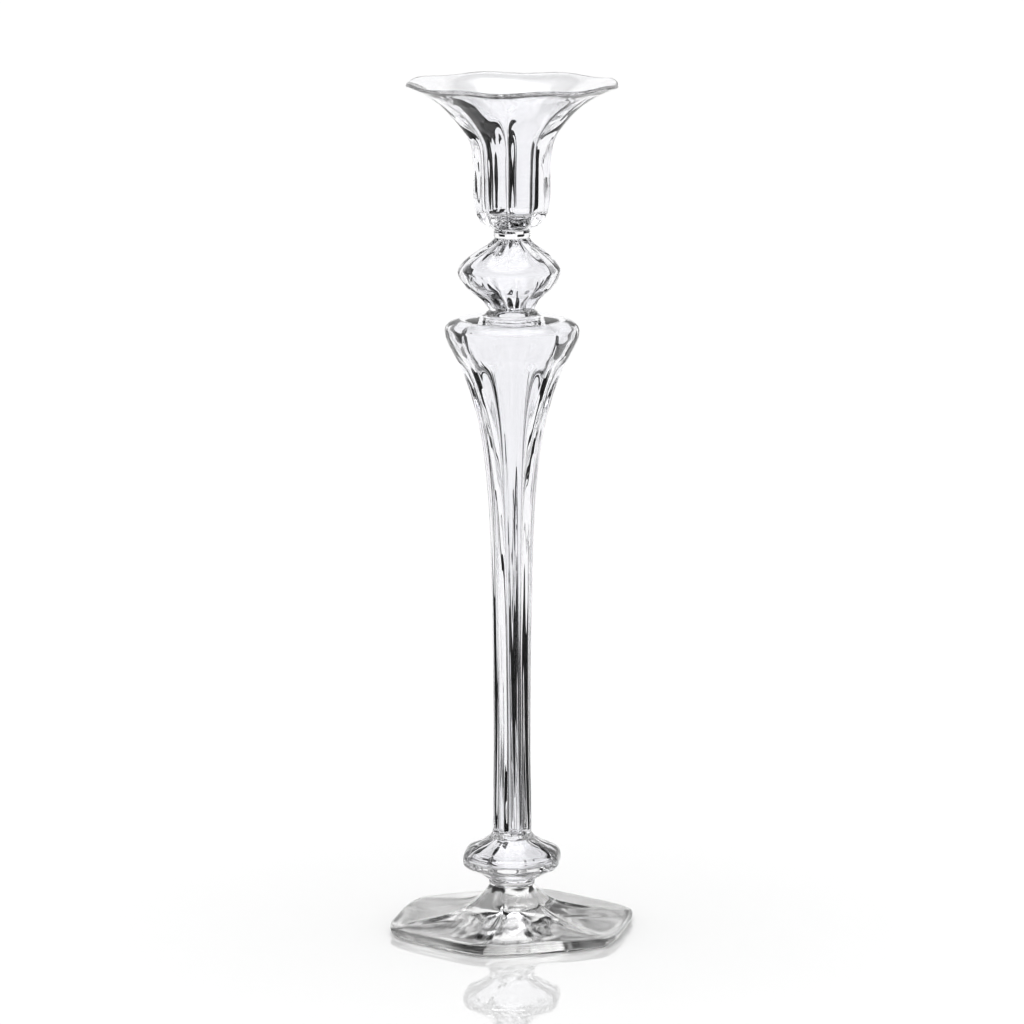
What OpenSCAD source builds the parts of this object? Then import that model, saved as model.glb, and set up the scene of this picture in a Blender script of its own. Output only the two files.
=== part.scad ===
// Hollow glass candlestick, blown in an eight-ribbed mould and joined hot at four small glass collars.
// The origin is the middle of the foot's underside, +Z up, and a rib of each piece faces near -Y.

/* [Overall] */
// Height from the table to the middle of the wavy rim
total_h = 350; // [320:5:400]
// Ribs around the cup, the knops and the stem
ribs = 8; // [6:1:10]

/* [Candle cup] */
// Candle that the socket takes
candle_d = 22; // [20:0.5:22.5]
// Room left around the candle, on its diameter
candle_room = 1.2; // [0.8:0.1:1.6]
// Depth of the straight part of the socket
socket_depth = 22; // [18:1:23]
// Diameter of the cup over its ribs, below the flare
cup_d = 32; // [31:0.2:35]
// Diameter of the flared rim that catches the drips
rim_d = 86; // [76:1:96]
// How far the rim rises and dips from its mean height
rim_wave = 0.4; // [0:0.1:1]
// Thickness of the glass at the rim
rim_wall = 1.4; // [1.2:0.1:2.2]
// Angle that the cup was turned by when it was joined
cup_turn = 16; // [-22:1:22]

/* [Upper knop] */
// Diameter of the upper knop over its ribs
upper_knop_d = 42.2; // [38:0.2:46]
// Height of the upper knop
upper_knop_h = 29.6; // [27:0.2:33]
// How far the middle of the knop sits off the axis
upper_knop_lean = -1.1; // [-1.5:0.1:1.5]

/* [Baluster stem] */
// Diameter of the shoulder over its ribs
shoulder_d = 54.6; // [50:0.2:60]
// Diameter of the stem at its thinnest, over its ribs
stem_d = 15.4; // [13:0.2:18]
// Depth of the flutes in the stem, as a share of its radius
flute_depth = 0.11; // [0.05:0.01:0.15]
// Angle that the stem turns by from its top to its foot
stem_twist = 20; // [-40:1:40]

/* [Lower knop] */
// Diameter of the lower knop over its ribs
lower_knop_d = 42; // [38:1:46]
// Height of the lower knop
lower_knop_h = 18; // [15:0.2:20]

/* [Foot] */
// Corners of the foot
foot_corners = 6; // [5:1:8]
// Diameter of the foot over its corners
foot_d = 104; // [96:1:116]
// Height of the foot at its neck
foot_h = 18.6; // [16:0.2:21]
// Thickness of the foot at its edge
foot_edge = 3.8; // [3:0.1:4.6]
// Angle that the foot was turned by when it was joined
foot_turn = -12; // [-30:1:30]

/* [Collars] */
// Height of the collar under the cup
cup_collar_h = 3.4; // [2.4:0.2:4]
// Diameter of the collar under the cup
cup_collar_d = 15; // [14:0.2:16]
// Height of each of the three lower collars
collar_h = 1.8; // [1.6:0.1:2.6]

/* [Hidden] */

// One rib of each piece faces the front, which is -Y, before the piece is turned
front_rib = -90;
// Points around a piece, and curve steps between two stations
around = 48;
curve_steps = 3;
// How sharply the ribs turn, how narrow the flutes are, and how narrow the foot's ridges are
corner_power = 1.25;
flute_power = 6;
ridge_power = 50;
// The inside of a blown wall keeps these shares of the outside's ribs and flutes
inner_corner_share = 0.9;
inner_flute_share = 0.35;
// Every cut reaches this far past the face that it opens
overshoot = 1;

// Height of the cup, height of the socket's mouth above its base, and radius of the socket's round bottom
cup_h = 59;
socket_mouth_h = 31;
socket_bowl_r = 14;

// Radius and depth of the ground and polished mark that the pontil rod left under the foot
pontil_r = 3.2;
pontil_depth = 0.8;

// Neck radii where the pieces meet their collars
cup_neck_r = 7;
knop_foot_r = 9.2;
stem_foot_r = 8.2;
foot_neck_r = 9.2;
// Radii of the hollows where the collars close them
hollow_end_r = 3;
knop_hollow_end_r = 4.4;

// Turns of the other pieces when they were joined
upper_knop_turn = 12;
stem_top_turn = -3;
lower_knop_turn = 17;

// Heights of the joints, counted up from the table
foot_top = foot_h;
lower_knop_base = foot_top + collar_h;
lower_knop_top = lower_knop_base + lower_knop_h;
stem_base = lower_knop_top + collar_h;
cup_base = total_h - cup_h;
upper_knop_top = cup_base - cup_collar_h;
upper_knop_base = upper_knop_top - upper_knop_h;
stem_top = upper_knop_base - collar_h;

socket_r = (candle_d + candle_room) / 2;
socket_top = cup_base + socket_mouth_h;

// Point on a smooth curve through b and c, at share t of the way, with a and d as the next stations
function blend(a, b, c, d, t) =
    b + 0.5 * t * (c - a + t * (2 * a - 5 * b + 4 * c - d + t * (3 * (b - c) + d - a)));

// Smooth curve through a list of stations
function curve(stations) =
    let (last = len(stations) - 1)
    [
        for (i = [0 : last - 1], k = [0 : curve_steps - 1])
            blend(stations[max(i - 1, 0)], stations[i], stations[i + 1],
                  stations[min(i + 2, last)], k / curve_steps),
        stations[last]
    ];

// A station is [height, radius over the ribs, corner share, flute share, wall, wave, ridge].
// The corner share pulls the spans between ribs in, and about 0.07 gives straight sides and round corners.
// The flute share cuts a narrow channel down the middle of each span.
// The wave lifts the ribs and drops the spans, and the ridge lifts a narrow line along each rib.
function ring(s, turn, sides = ribs, lean = 0) =
    [
        for (k = [0 : around - 1])
            let (
                a = 360 * k / around,
                span = abs(sin(sides * a / 2)),
                r = s[1] * (1 - s[2] * pow(span, corner_power) - s[3] * pow(span, flute_power)),
                at = a + front_rib + turn,
                lift = s[5] * cos(sides * a) + s[6] * pow(abs(cos(sides * a / 2)), ridge_power)
            )
            [lean + r * cos(at), r * sin(at), s[0] + lift]
    ];

// The inside of the wall behind row i of an outside curve
function behind(rows, i) =
    let (
        s = rows[i],
        step = rows[min(i + 1, len(rows) - 1)] - rows[max(i - 1, 0)],
        run = norm([step[0], step[1]])
    )
    [
        s[0] + s[4] * step[1] / run,
        s[1] - s[4] * step[0] / run,
        s[2] * inner_corner_share,
        s[3] * inner_flute_share,
        s[4], s[5], s[6]
    ];

// A round end of a hollow
function hollow_end(z, r) = [z, r, 0, 0, 0, 0, 0];

// Closed skin over a list of rings; with joined ends it bends back on itself as a tube does
module skin(rings, joined) {
    n = len(rings[0]);
    m = len(rings);
    sides = [
        for (i = [0 : m - (joined ? 1 : 2)], k = [0 : n - 1])
            let (
                a = i * n + k,
                b = i * n + (k + 1) % n,
                c = ((i + 1) % m) * n + (k + 1) % n,
                d = ((i + 1) % m) * n + k
            )
            each [[a, d, c], [a, c, b]]
    ];
    caps = joined ? [] : [
        [for (k = [0 : n - 1]) k],
        [for (k = [n - 1 : -1 : 0]) (m - 1) * n + k]
    ];
    polyhedron([for (r = rings) each r], concat(sides, caps));
}

// Hollow piece with open ends: the outside up, then the inside of its wall down
module blown(outside, low_r, top_r, turn, twist = 0, lean = 0) {
    outer = curve(outside);
    last = len(outer) - 1;
    base = outer[0][0];
    rise = outer[last][0] - base;
    inner = [
        hollow_end(outer[last][0], top_r),
        for (i = [last - 1 : -1 : 1]) behind(outer, i),
        hollow_end(base, low_r)
    ];
    skin([
        for (s = concat(outer, inner))
            let (t = (s[0] - base) / rise)
            ring(s, turn + twist * (1 - t), ribs, lean * sin(180 * t))
    ], true);
}

// Collar: a solid ring of glass with a rounded edge
module collar(base, height, top_r, base_r, bulge) {
    translate([0, 0, base])
        rotate_extrude($fn = 96)
            polygon([
                [0, 0],
                [base_r, 0],
                for (k = [1 : 7])
                    let (t = k / 8)
                    [base_r + (top_r - base_r) * t + bulge * sin(180 * t), height * t],
                [top_r, height],
                [0, height]
            ]);
}

module candle_cup() {
    rim_r = rim_d / 2;
    cup_r = cup_d / 2;
    outside = [
        [cup_base, cup_neck_r, 0, 0, 4, 0, 0],
        [cup_base + 1.2, cup_neck_r + 2.4, 0.01, 0.03, 4, 0, 0],
        [cup_base + 3.5, cup_r * 0.82, 0.02, 0.08, 4, 0, 0],
        [cup_base + 10, cup_r * 0.98, 0.025, 0.1, 4, 0, 0],
        [cup_base + 22, cup_r, 0.025, 0.1, 4.2, 0, 0],
        [cup_base + 32, cup_r * 1.05, 0.025, 0.1, 4.4, 0, 0],
        [cup_base + 38, cup_r * 1.17, 0.025, 0.09, 3.6, 0, 0],
        [cup_base + 45, cup_r * 1.5, 0.02, 0.05, 2.6, 0, 0],
        [cup_base + 51, rim_r * 0.7, 0.015, 0.015, 2.1, rim_wave * 0.2, 0],
        [cup_base + 56, rim_r * 0.87, 0, 0, 1.8, rim_wave * 0.8, 0],
        [total_h - rim_wall / 2, rim_r, 0, 0, rim_wall, rim_wave, 0]
    ];
    outer = curve(outside);
    last = len(outer) - 1;
    // The ribs and flutes of the inside fade out on the way down from the rim to the round socket
    inner = [
        for (i = [last : -1 : 1])
            let (s = behind(outer, i), fade = (s[0] - socket_top) / (total_h - socket_top))
            if (s[0] > socket_top + overshoot) [s[0], s[1], s[2] * fade, s[3] * fade, s[4], s[5], s[6]]
    ];
    lip = [[total_h + rim_wall * 0.12, rim_r - rim_wall * 0.1, 0, 0, 0, rim_wave, 0]];
    mouth = [hollow_end(socket_top, socket_r + 0.6)];
    // The socket is straight down to its round bottom
    bowl_angle = asin(socket_r / socket_bowl_r);
    bowl_centre = socket_top - socket_depth + socket_bowl_r * cos(bowl_angle);
    color("lavenderblush", 0.5)
        difference() {
            skin([for (s = concat(outer, lip, inner, mouth)) ring(s, cup_turn)], false);
            rotate_extrude($fn = 96)
                polygon([
                    [0, socket_top + overshoot],
                    [socket_r, socket_top + overshoot],
                    for (k = [6 : -1 : 0])
                        let (a = bowl_angle * k / 6)
                        [socket_bowl_r * sin(a), bowl_centre - socket_bowl_r * cos(a)]
                ]);
        }
}

module cup_collar() {
    color("white", 0.5)
        collar(upper_knop_top, cup_collar_h, cup_neck_r, cup_neck_r, cup_collar_d / 2 - cup_neck_r);
}

module upper_knop() {
    r = upper_knop_d / 2;
    b = upper_knop_base;
    h = upper_knop_h;
    wall = 2.2;
    outside = [
        [b, knop_foot_r, 0.03, 0.16, wall, 0, 0],
        [b + h * 0.14, r * 0.56, 0.02, 0.15, wall, 0, 0],
        [b + h * 0.32, r * 0.85, 0.012, 0.03, wall, 0, 0],
        [b + h * 0.52, r, 0.012, 0, wall, 0, 0],
        [b + h * 0.67, r * 0.9, 0.012, 0.01, wall, 0, 0],
        [b + h * 0.82, r * 0.65, 0.012, 0.1, wall, 0, 0],
        [b + h * 0.92, r * 0.44, 0.02, 0.16, wall, 0, 0],
        [b + h, cup_neck_r, 0.03, 0.16, wall, 0, 0]
    ];
    color("lavender", 0.5)
        blown(outside, knop_hollow_end_r, hollow_end_r, upper_knop_turn, lean = upper_knop_lean);
}

module shoulder_collar() {
    color("white", 0.5)
        collar(stem_top, collar_h, knop_foot_r, knop_foot_r + 1.6, 0.4);
}

module baluster_stem() {
    r = shoulder_d / 2;
    thin = stem_d / 2;
    run = stem_top - stem_base;
    outside = [
        [stem_base, stem_foot_r, 0.03, flute_depth * 0.6, 4.5, 0, 0],
        [stem_base + 9, thin * 1.06, 0.03, flute_depth, 4.4, 0, 0],
        [stem_base + run * 0.2, thin, 0.03, flute_depth, 4.3, 0, 0],
        [stem_base + run * 0.42, thin * 1.06, 0.03, flute_depth, 4.3, 0, 0],
        [stem_base + run * 0.62, thin * 1.22, 0.03, flute_depth, 4, 0, 0],
        [stem_base + run * 0.76, thin * 1.6, 0.03, flute_depth, 3.6, 0, 0],
        [stem_top - 34, thin * 2.15, 0.03, flute_depth, 3.2, 0, 0],
        [stem_top - 22.5, r * 0.76, 0.03, flute_depth * 0.7, 2.8, 0, 0],
        [stem_top - 16.5, r * 0.87, 0.025, 0, 2.6, 0, 0],
        [stem_top - 9.5, r * 0.99, 0.025, 0, 2.4, 0, 0],
        [stem_top - 4.6, r * 0.98, 0.025, 0, 2.2, 0, 0],
        [stem_top - 1.6, r * 0.78, 0.02, 0, 2, 0, 0],
        [stem_top, knop_foot_r + 1.8, 0.01, 0, 2.4, 0, 0]
    ];
    color("lavender", 0.5)
        blown(outside, hollow_end_r, knop_hollow_end_r, stem_top_turn, twist = stem_twist);
}

module stem_collar() {
    color("white", 0.5)
        collar(lower_knop_top, collar_h, stem_foot_r, stem_foot_r + 0.8, 0.3);
}

module lower_knop() {
    r = lower_knop_d / 2;
    b = lower_knop_base;
    h = lower_knop_h;
    wall = 3.2;
    outside = [
        [b, foot_neck_r, 0.02, 0.03, wall, 0, 0],
        [b + h * 0.16, r * 0.64, 0.04, 0.03, wall, 0, 0],
        [b + h * 0.32, r * 0.92, 0.05, 0, wall, 0, 0],
        [b + h * 0.48, r, 0.06, 0, wall, 0, 0],
        [b + h * 0.7, r * 0.93, 0.05, 0, wall, 0, 0],
        [b + h * 0.88, r * 0.64, 0.04, 0.04, wall, 0, 0],
        [b + h, stem_foot_r + 1.4, 0.02, 0.06, wall, 0, 0]
    ];
    color("lavender", 0.5) blown(outside, hollow_end_r, hollow_end_r, lower_knop_turn);
}

module foot_collar() {
    color("white", 0.5)
        collar(foot_top, collar_h, foot_neck_r, foot_neck_r, 0.3);
}

module foot() {
    r = foot_d / 2;
    outside = [
        [0, r - 1.2, 0.08, 0, 0, 0, 0],
        [foot_edge * 0.45, r, 0.08, 0, 0, 0, 0],
        [foot_edge, r - 0.8, 0.08, 0, 0, 0, 0],
        [foot_edge * 1.25, r * 0.8, 0.08, 0, 0, 0, 0.5],
        [foot_h * 0.37, r * 0.52, 0.08, 0, 0, 0, 0.8],
        [foot_h * 0.55, r * 0.34, 0.07, 0.02, 0, 0, 0.5],
        [foot_h * 0.8, r * 0.235, 0.05, 0.03, 0, 0, 0],
        [foot_h, foot_neck_r, 0.02, 0.02, 0, 0, 0]
    ];
    // The mark is the end of a large sphere
    dish_r = (pontil_r * pontil_r + pontil_depth * pontil_depth) / (2 * pontil_depth);
    color("gainsboro", 0.6)
        difference() {
            skin([for (s = curve(outside)) ring(s, foot_turn, foot_corners)], false);
            translate([0, 0, pontil_depth - dish_r])
                sphere(r = dish_r, $fn = 96);
        }
}

candle_cup();
cup_collar();
upper_knop();
shoulder_collar();
baluster_stem();
stem_collar();
lower_knop();
foot_collar();
foot();
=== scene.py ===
"""Looks of the glass candlestick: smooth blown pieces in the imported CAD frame, on a white gloss table.

The shapes follow part.scad with more points. Lengths in the tables are millimetres, turned into metres
by ring(). A station is [height, radius over the ribs, corner share, flute share, wall, wave, ridge].
"""
import math

import bpy
import numpy as np
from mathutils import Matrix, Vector


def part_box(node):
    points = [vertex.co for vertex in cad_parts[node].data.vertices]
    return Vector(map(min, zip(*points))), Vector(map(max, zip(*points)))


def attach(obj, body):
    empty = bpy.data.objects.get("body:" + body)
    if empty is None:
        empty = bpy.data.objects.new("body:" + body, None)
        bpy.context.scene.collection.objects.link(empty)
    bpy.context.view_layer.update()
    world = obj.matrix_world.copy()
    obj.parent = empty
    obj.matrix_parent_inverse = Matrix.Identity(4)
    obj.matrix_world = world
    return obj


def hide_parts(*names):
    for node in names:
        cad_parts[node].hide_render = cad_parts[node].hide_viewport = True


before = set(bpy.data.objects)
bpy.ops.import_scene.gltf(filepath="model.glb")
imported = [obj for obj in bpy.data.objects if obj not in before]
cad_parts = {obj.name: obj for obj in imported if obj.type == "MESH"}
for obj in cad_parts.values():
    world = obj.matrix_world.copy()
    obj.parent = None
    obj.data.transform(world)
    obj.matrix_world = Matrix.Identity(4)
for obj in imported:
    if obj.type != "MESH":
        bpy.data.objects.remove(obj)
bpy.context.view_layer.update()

MM = 0.001

# Points round a ring, rows between stations, and the counts and start of the ribs and corners
AROUND = 240
CURVE_STEPS, COLLAR_STEPS = 8, 12
RIBS = 8
FOOT_CORNERS = 6
FRONT_RIB = -90.0

# How sharp a corner, a flute and a ridge are, and how much of a corner and a flute the inside keeps
CORNER_POWER, FLUTE_POWER, RIDGE_POWER = 1.25, 6, 50
INNER_CORNER, INNER_FLUTE = 0.9, 0.35


def base_of(node):
    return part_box(node)[0].z / MM


def top_of(node):
    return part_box(node)[1].z / MM


# Heights of the joints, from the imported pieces
CUP_BASE = base_of("candle_cup")
KNOP_BASE, KNOP_TOP = base_of("upper_knop"), top_of("upper_knop")
STEM_BASE, STEM_TOP = base_of("baluster_stem"), top_of("baluster_stem")
LOW_BASE, LOW_TOP = base_of("lower_knop"), top_of("lower_knop")
FOOT_TOP = top_of("foot")
CUP_H, SOCKET_MOUTH_H = 59.0, 31.0
HEIGHT = CUP_BASE + CUP_H

# Radii where the pieces meet their collars, and of the hollows that the collars close
CUP_NECK, KNOP_FOOT, STEM_FOOT, FOOT_NECK = 7.0, 9.2, 8.2, 9.2
HOLLOW_END, KNOP_HOLLOW_END, NO_HOLLOW = 3.0, 4.4, 0.5

# Turns of the pieces about the axis, in degrees
CUP_TURN, KNOP_TURN, STEM_TOP_TURN, LOW_TURN, FOOT_TURN = 16.0, 12.0, -3.0, 17.0, -12.0
STEM_TWIST = 20.0

# Materials of a piece, in the order of its slots
GLASS, FUSED, GROUND = 0, 1, 2

# Camera: its lens in millimetres, and its places in heights of the candlestick
LENS, SENSOR = 193.7, 36
CAMERA_BACK, CAMERA_UP, AIM_UP = 6.337, 1.637, 0.4986

# Table, in metres: half its width, and the gap that keeps it clear of the foot
TABLE_HALF, TABLE_GAP = 12.0, 0.0002

# Black cards in a ring round the candlestick, in metres, turned by FLAG_TURN degrees. Each runs out along
# the table from FLAG_START and stands up at FLAG_DISTANCE, with an outline of (height, half width) that is
# narrow where the stem is pale.
FLAGS = 8
FLAG_START, FLAG_DISTANCE, FLAG_TURN = 0.07, 0.17, -2.0
FLAG_BASE, FLAG_WAIST, FLAG_SHOULDER, FLAG_TOP = 0.036, 0.014, 0.02, 0.028
FLAG_OUTLINE = (
    (0, FLAG_BASE), (0.065, FLAG_BASE), (0.11, FLAG_WAIST), (0.15, FLAG_WAIST),
    (0.19, FLAG_SHOULDER), (0.24, FLAG_SHOULDER), (0.27, FLAG_TOP), (0.31, FLAG_TOP),
)

# Levels of the light at the horizon, in the dark band above it and overhead, out of FULL_LEVEL
HORIZON, CEILING, OVERHEAD = 1.02, 0.04, 3.0
FULL_LEVEL = 10.0
HORIZON_TOP, CEILING_LOW, CEILING_HIGH, OVERHEAD_LOW = 0.57, 0.66, 0.84, 0.9


def smooth(stations, steps=CURVE_STEPS):
    """Rows on a smooth curve through a list of stations."""
    p = np.array(stations, float)
    ends = np.vstack([p[0], p, p[-1]])
    rows = []
    for a, b, c, d in zip(ends, ends[1:], ends[2:], ends[3:]):
        for k in range(steps):
            t = k / steps
            bend = 2 * a - 5 * b + 4 * c - d + t * (3 * (b - c) + d - a)
            rows.append(b + 0.5 * t * (c - a + t * bend))
    rows.append(p[-1])
    return np.array(rows)


def ring(station, turn=0.0, ribs=RIBS, lean=0.0):
    """Points round one station, in metres."""
    height, radius, corner, flute, _, wave, ridge = station
    a = np.arange(AROUND) * 2 * math.pi / AROUND
    span = np.abs(np.sin(ribs * a / 2))
    r = radius * (1 - corner * span**CORNER_POWER - flute * span**FLUTE_POWER)
    z = height + wave * np.cos(ribs * a) + ridge * np.abs(np.cos(ribs * a / 2))**RIDGE_POWER
    at = a + math.radians(FRONT_RIB + turn)
    return np.stack([lean + r * np.cos(at), r * np.sin(at), z], 1) * MM


def behind(rows):
    """The inside of the wall behind each row of an outside curve."""
    step = np.gradient(rows[:, :2], axis=0)
    step /= np.linalg.norm(step, axis=1, keepdims=True)
    inner = rows.copy()
    inner[:, 0] += rows[:, 4] * step[:, 1]
    inner[:, 1] -= rows[:, 4] * step[:, 0]
    inner[:, 2] *= INNER_CORNER
    inner[:, 3] *= INNER_FLUTE
    return inner


def flat(height, radius):
    """A round station, as at the end of a hollow."""
    return np.array([height, radius, 0, 0, 0, 0, 0])


def add_mesh(name, points, faces):
    mesh = bpy.data.meshes.new(name)
    mesh.from_pydata([tuple(p) for p in points], [], faces)
    mesh.update()
    piece = bpy.data.objects.new(name, mesh)
    bpy.context.scene.collection.objects.link(piece)
    return piece


def skin(name, rings, joined=False, fused=(), ground=()):
    """Closed skin over rings of points. Bands named in fused touch a collar, and those in ground are matt.

    With joined ends the skin bends back on itself as a tube does; otherwise "bottom" and "top" close it.
    """
    count = len(rings)
    faces, slots = [], []

    def add(face, part):
        faces.append(face)
        slots.append(FUSED if part in fused else GROUND if part in ground else GLASS)

    for i in range(count if joined else count - 1):
        j = (i + 1) % count
        for k in range(AROUND):
            n = (k + 1) % AROUND
            add((i * AROUND + k, i * AROUND + n, j * AROUND + n, j * AROUND + k), i)
    if not joined:
        add(tuple(range(AROUND))[::-1], "bottom")
        add(tuple((count - 1) * AROUND + k for k in range(AROUND)), "top")
    piece = add_mesh(name, np.vstack(rings), faces)
    piece.data.polygons.foreach_set("material_index", slots)
    piece.data.polygons.foreach_set("use_smooth", [slot != FUSED for slot in slots])
    return piece


def blown(name, outside, low_r, top_r, turn, twist=0.0, lean=0.0):
    """Hollow piece with open ends: the outside up, then the inside of its wall down."""
    outer = smooth(outside)
    base, top = outer[0, 0], outer[-1, 0]
    inner = behind(outer)[-2:0:-1]
    rows = np.vstack([outer, flat(top, top_r), inner, flat(base, low_r)])
    rings = []
    for row in rows:
        t = (row[0] - base) / (top - base)
        rings.append(ring(row, turn + twist * (1 - t), RIBS, lean * math.sin(math.pi * t)))
    return skin(name, rings, joined=True, fused=(len(outer) - 1, len(rings) - 1))


def make_cup():
    cup_r, rim_r, wave, rim_wall = 16.0, 43.0, 0.4, 1.4
    socket_r, socket_top = 11.6, CUP_BASE + SOCKET_MOUTH_H
    b = CUP_BASE
    outer = smooth([
        [b, CUP_NECK, 0, 0, 4, 0, 0],
        [b + 1.2, CUP_NECK + 2.4, 0.01, 0.03, 4, 0, 0],
        [b + 3.5, cup_r * 0.82, 0.02, 0.08, 4, 0, 0],
        [b + 10, cup_r * 0.98, 0.025, 0.1, 4, 0, 0],
        [b + 22, cup_r, 0.025, 0.1, 4.2, 0, 0],
        [b + 32, cup_r * 1.05, 0.025, 0.1, 4.4, 0, 0],
        [b + 38, cup_r * 1.17, 0.025, 0.09, 3.6, 0, 0],
        [b + 45, cup_r * 1.5, 0.02, 0.05, 2.6, 0, 0],
        [b + 51, rim_r * 0.7, 0.015, 0.015, 2.1, wave * 0.2, 0],
        [b + 56, rim_r * 0.87, 0, 0, 1.8, wave * 0.8, 0],
        [HEIGHT - rim_wall / 2, rim_r, 0, 0, rim_wall, wave, 0],
    ])
    lip = [HEIGHT + rim_wall * 0.12, rim_r - rim_wall * 0.1, 0, 0, 0, wave, 0]
    inner = behind(outer)[::-1]
    inner = inner[inner[:, 0] > socket_top + 1]
    inner[:, 2:4] *= (inner[:, :1] - socket_top) / (HEIGHT - socket_top)
    socket = smooth([
        [socket_top, socket_r + 0.6, 0, 0.01, 0, 0, 0],
        [socket_top - 4, socket_r + 0.3, 0, 0.02, 0, 0, 0],
        [b + 18, socket_r + 0.2, 0, 0.015, 0, 0, 0],
        [b + 9, socket_r, 0, 0, 0, 0, 0],
        [b + 7, socket_r - 1.6, 0, 0, 0, 0, 0],
        [b + 5, socket_r - 4.1, 0, 0, 0, 0, 0],
        [b + 3.8, socket_r - 6.5, 0, 0, 0, 0, 0],
        [b + 3.1, socket_r - 8.9, 0, 0, 0, 0, 0],
        [b + 2.9, socket_r - 11.3, 0, 0, 0, 0, 0],
    ], CURVE_STEPS // 2)
    rows = np.vstack([outer, lip, inner, socket])
    return skin("cup_glass", [ring(row, CUP_TURN) for row in rows], fused=("bottom",))


def make_upper_knop():
    r, wall, lean = 21.1, 2.2, -1.1
    b, h = KNOP_BASE, KNOP_TOP - KNOP_BASE
    outside = [
        [b, KNOP_FOOT, 0.03, 0.16, wall, 0, 0],
        [b + h * 0.14, r * 0.56, 0.02, 0.15, wall, 0, 0],
        [b + h * 0.32, r * 0.85, 0.012, 0.03, wall, 0, 0],
        [b + h * 0.52, r, 0.012, 0, wall, 0, 0],
        [b + h * 0.67, r * 0.9, 0.012, 0.01, wall, 0, 0],
        [b + h * 0.82, r * 0.65, 0.012, 0.1, wall, 0, 0],
        [b + h * 0.92, r * 0.44, 0.02, 0.16, wall, 0, 0],
        [b + h, CUP_NECK, 0.03, 0.16, wall, 0, 0],
    ]
    return blown("upper_knop_glass", outside, KNOP_HOLLOW_END, HOLLOW_END, KNOP_TURN, lean=lean)


def make_stem():
    r, thin, deep = 27.3, 7.7, 0.11
    b, top = STEM_BASE, STEM_TOP
    run = top - b
    outside = [
        [b, STEM_FOOT, 0.03, deep * 0.6, 4.5, 0, 0],
        [b + 9, thin * 1.06, 0.03, deep, 4.4, 0, 0],
        [b + run * 0.2, thin, 0.03, deep, 4.3, 0, 0],
        [b + run * 0.42, thin * 1.06, 0.03, deep, 4.3, 0, 0],
        [b + run * 0.62, thin * 1.22, 0.03, deep, 4, 0, 0],
        [b + run * 0.76, thin * 1.6, 0.03, deep, 3.6, 0, 0],
        [top - 34, thin * 2.15, 0.03, deep, 3.2, 0, 0],
        [top - 22.5, r * 0.76, 0.03, deep * 0.7, 2.8, 0, 0],
        [top - 16.5, r * 0.87, 0.025, 0, 2.6, 0, 0],
        [top - 9.5, r * 0.99, 0.025, 0, 2.4, 0, 0],
        [top - 4.6, r * 0.98, 0.025, 0, 2.2, 0, 0],
        [top - 1.6, r * 0.78, 0.02, 0, 2, 0, 0],
        [top, KNOP_FOOT + 1.8, 0.01, 0, 2.4, 0, 0],
    ]
    return blown("stem_glass", outside, HOLLOW_END, KNOP_HOLLOW_END, STEM_TOP_TURN, STEM_TWIST)


def make_lower_knop():
    r, wall = 21.0, 3.2
    b, h = LOW_BASE, LOW_TOP - LOW_BASE
    outside = [
        [b, FOOT_NECK, 0.02, 0.03, wall, 0, 0],
        [b + h * 0.16, r * 0.64, 0.04, 0.03, wall, 0, 0],
        [b + h * 0.32, r * 0.92, 0.05, 0, wall, 0, 0],
        [b + h * 0.48, r, 0.06, 0, wall, 0, 0],
        [b + h * 0.7, r * 0.93, 0.05, 0, wall, 0, 0],
        [b + h * 0.88, r * 0.64, 0.04, 0.04, wall, 0, 0],
        [b + h, STEM_FOOT + 1.4, 0.02, 0.06, wall, 0, 0],
    ]
    return blown("lower_knop_glass", outside, HOLLOW_END, HOLLOW_END, LOW_TURN)


def make_foot():
    """Solid foot with a polished pontil mark in the middle of its ground underside."""
    r, edge, h = 52.0, 3.8, FOOT_TOP
    mark = [flat(0.8, 0.3), flat(0.7, 1.2), flat(0.4, 2.3), flat(0, 3.2)]
    outside = smooth([
        [0, r - 1.2, 0.08, 0, 0, 0, 0],
        [edge * 0.45, r, 0.08, 0, 0, 0, 0],
        [edge, r - 0.8, 0.08, 0, 0, 0, 0],
        [edge * 1.25, r * 0.8, 0.08, 0, 0, 0, 0.5],
        [h * 0.37, r * 0.52, 0.08, 0, 0, 0, 0.8],
        [h * 0.55, r * 0.34, 0.07, 0.02, 0, 0, 0.5],
        [h * 0.8, r * 0.235, 0.05, 0.03, 0, 0, 0],
        [h, FOOT_NECK, 0.02, 0.02, 0, 0, 0],
    ])
    rings = [ring(row) for row in mark]
    rings += [ring(row, FOOT_TURN, FOOT_CORNERS) for row in outside]
    underside = len(mark) - 1
    return skin("foot_glass", rings, fused=("top",), ground=(underside,))


def make_collar(node, base_r, top_r, bulge, hollow_below, hollow_above):
    """Ring of fused glass between two pieces, whose hollows it closes."""
    low, high = base_of(node), top_of(node)
    rows = [flat(low, hollow_below / 2), flat(low, hollow_below), flat(low, base_r)]
    for k in range(1, COLLAR_STEPS):
        t = k / COLLAR_STEPS
        side = base_r + (top_r - base_r) * t + bulge * math.sin(math.pi * t)
        rows.append(flat(low + (high - low) * t, side))
    rows += [flat(high, top_r), flat(high, hollow_above), flat(high, hollow_above / 2)]
    return skin(node + "_glass", [ring(row) for row in rows], fused=(1, len(rows) - 3))


def new_material(name):
    mat = bpy.data.materials.new(name)
    mat.use_nodes = True
    return mat, mat.node_tree.nodes["Principled BSDF"]


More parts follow.
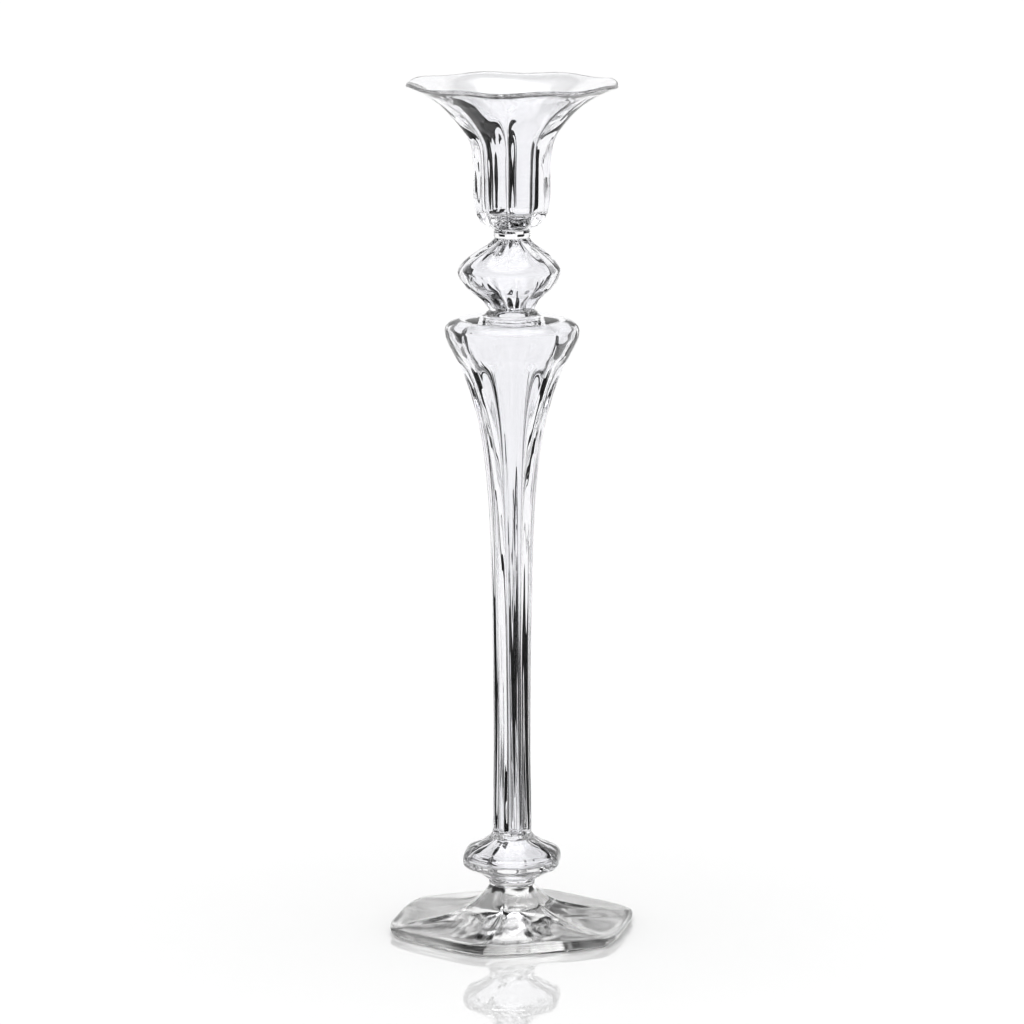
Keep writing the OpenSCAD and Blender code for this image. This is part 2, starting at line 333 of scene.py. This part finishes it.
def noise_bump(mat, scale, strength, stretch, below=None):
    """Bump from one noise, with features 1 / scale metres across, on top of the bump below it."""
    nodes, links = mat.node_tree.nodes, mat.node_tree.links
    coords = nodes.new("ShaderNodeTexCoord")
    mapping = nodes.new("ShaderNodeMapping")
    mapping.inputs["Scale"].default_value = (1, 1, stretch)
    noise = nodes.new("ShaderNodeTexNoise")
    noise.inputs["Scale"].default_value = scale
    noise.inputs["Detail"].default_value = 2
    bump = nodes.new("ShaderNodeBump")
    bump.inputs["Strength"].default_value = strength
    bump.inputs["Distance"].default_value = MM
    links.new(coords.outputs["Object"], mapping.inputs["Vector"])
    links.new(mapping.outputs["Vector"], noise.inputs["Vector"])
    links.new(noise.outputs["Fac"], bump.inputs["Height"])
    if below:
        links.new(below.outputs["Normal"], bump.inputs["Normal"])
    return bump


def glass_material(name, tint, roughness=0.0):
    """Clear glass with the slow waves of hand work and faint streaks along its length."""
    mat, shader = new_material(name)
    shader.inputs["Base Color"].default_value = (*tint, 1)
    shader.inputs["Roughness"].default_value = roughness
    shader.inputs["Transmission Weight"].default_value = 1
    shader.inputs["IOR"].default_value = 1.5
    shader.inputs["Specular Tint"].default_value = (0.4, 0.4, 0.4, 1)
    waves = noise_bump(mat, scale=60, strength=0.03, stretch=1)
    streaks = noise_bump(mat, scale=300, strength=0.006, stretch=0.12, below=waves)
    mat.node_tree.links.new(streaks.outputs["Normal"], shader.inputs["Normal"])
    return mat


def fused_material():
    """Fused glass has no surface between a piece and its collar, so those faces are left out of sight."""
    mat, shader = new_material("fused_joint")
    shader.inputs["Alpha"].default_value = 0
    return mat


def make_camera():
    """Camera at the photograph's viewing angle."""
    tall = HEIGHT * MM
    data = bpy.data.cameras.new("camera")
    data.lens = LENS
    data.sensor_width = SENSOR
    data.clip_end = 100
    camera = bpy.data.objects.new("camera", data)
    camera.location = (0, -CAMERA_BACK * tall, CAMERA_UP * tall)
    aim = Vector((0, 0, AIM_UP * tall)) - camera.location
    camera.rotation_mode = "QUATERNION"
    camera.rotation_quaternion = aim.to_track_quat("-Z", "Y")
    bpy.context.scene.collection.objects.link(camera)
    bpy.context.scene.camera = camera


def make_floor():
    half, low = TABLE_HALF, -TABLE_GAP
    points = [(-half, -half, low), (half, -half, low), (half, half, low), (-half, half, low)]
    floor = add_mesh("floor", points, [(0, 1, 2, 3)])
    mat, shader = new_material("white_gloss_table")
    shader.inputs["Base Color"].default_value = (0.9, 0.9, 0.9, 1)
    shader.inputs["Roughness"].default_value = 0.03
    shader.inputs["IOR"].default_value = 2.2
    floor.data.materials.append(mat)


def make_flags():
    """Black cards that only refracted light sees, which draw the dark lines in the glass."""
    mat, shader = new_material("black_card")
    shader.inputs["Base Color"].default_value = (0.005, 0.005, 0.005, 1)
    shader.inputs["Roughness"].default_value = 1
    shader.inputs["Specular IOR Level"].default_value = 0
    start = FLAG_START / FLAG_DISTANCE
    rows = [(FLAG_START, 0, FLAG_BASE * start)]
    rows += [(FLAG_DISTANCE, height, half) for height, half in FLAG_OUTLINE]
    faces = [(2 * i, 2 * i + 1, 2 * i + 3, 2 * i + 2) for i in range(len(rows) - 1)]
    for k in range(FLAGS):
        a = math.radians(FLAG_TURN) + math.tau * (k + 0.5) / FLAGS
        out = Vector((math.sin(a), -math.cos(a), 0))
        side = Vector((math.cos(a), math.sin(a), 0))
        points = []
        for distance, height, half in rows:
            middle = out * distance + Vector((0, 0, height))
            points += [middle - side * half, middle + side * half]
        flag = add_mesh(f"flag_{k}", points, faces)
        flag.data.materials.append(mat)
        flag.visible_camera = False
        flag.visible_diffuse = False
        flag.visible_glossy = False
        flag.visible_shadow = False


def make_world():
    """White horizon, dark ceiling and a soft light overhead, by the height of the ray."""
    world = bpy.data.worlds.new("studio")
    world.use_nodes = True
    nodes, links = world.node_tree.nodes, world.node_tree.links
    coords = nodes.new("ShaderNodeTexCoord")
    split = nodes.new("ShaderNodeSeparateXYZ")
    ramp = nodes.new("ShaderNodeValToRGB")
    background = nodes["Background"]
    background.inputs["Strength"].default_value = FULL_LEVEL
    links.new(coords.outputs["Generated"], split.inputs["Vector"])
    links.new(split.outputs["Z"], ramp.inputs["Fac"])
    links.new(ramp.outputs["Color"], background.inputs["Color"])
    stops = (
        (0, HORIZON), (HORIZON_TOP, HORIZON), (CEILING_LOW, CEILING),
        (CEILING_HIGH, CEILING), (OVERHEAD_LOW, OVERHEAD),
    )
    for i, (at, level) in enumerate(stops):
        stop = ramp.color_ramp.elements[i] if i < 2 else ramp.color_ramp.elements.new(at)
        stop.position = at
        stop.color = (level / FULL_LEVEL, level / FULL_LEVEL, level / FULL_LEVEL, 1)
    bpy.context.scene.world = world


def place(piece, node, mat, fused, ground):
    """Lets a piece stand in for its CAD node, and gives it its materials."""
    for part in (mat, fused, ground):
        piece.data.materials.append(part)
    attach(piece, "root")
    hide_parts(node)


def make_candlestick():
    clear = glass_material("blown_glass", (0.95, 0.95, 0.965))
    solid = glass_material("collar_glass", (0.97, 0.97, 0.98))
    pressed = glass_material("foot_glass", (1.0, 1.0, 0.995))
    ground = glass_material("foot_underside", (1.0, 1.0, 1.0), roughness=0.1)
    fused = fused_material()
    place(make_cup(), "candle_cup", clear, fused, ground)
    place(make_upper_knop(), "upper_knop", clear, fused, ground)
    place(make_stem(), "baluster_stem", clear, fused, ground)
    place(make_lower_knop(), "lower_knop", clear, fused, ground)
    place(make_foot(), "foot", pressed, fused, ground)
    collars = (
        ("cup_collar", CUP_NECK, CUP_NECK, 0.5, HOLLOW_END, NO_HOLLOW),
        ("shoulder_collar", KNOP_FOOT + 1.6, KNOP_FOOT, 0.4, KNOP_HOLLOW_END, KNOP_HOLLOW_END),
        ("stem_collar", STEM_FOOT + 0.8, STEM_FOOT, 0.3, HOLLOW_END, HOLLOW_END),
        ("foot_collar", FOOT_NECK, FOOT_NECK, 0.3, NO_HOLLOW, HOLLOW_END),
    )
    for node, base_r, top_r, bulge, hollow_below, hollow_above in collars:
        collar = make_collar(node, base_r, top_r, bulge, hollow_below, hollow_above)
        place(collar, node, solid, fused, ground)


def set_up_light_paths():
    """Enough bounces for a ray to pass every wall, and a plain view with deep blacks."""
    scene = bpy.context.scene
    scene.view_settings.view_transform = "Standard"
    scene.view_settings.gamma = 0.8
    scene.cycles.max_bounces = 32
    scene.cycles.transmission_bounces = 32
    scene.cycles.glossy_bounces = 16
    scene.cycles.transparent_max_bounces = 32


make_candlestick()
make_camera()
make_floor()
make_flags()
make_world()
set_up_light_paths()
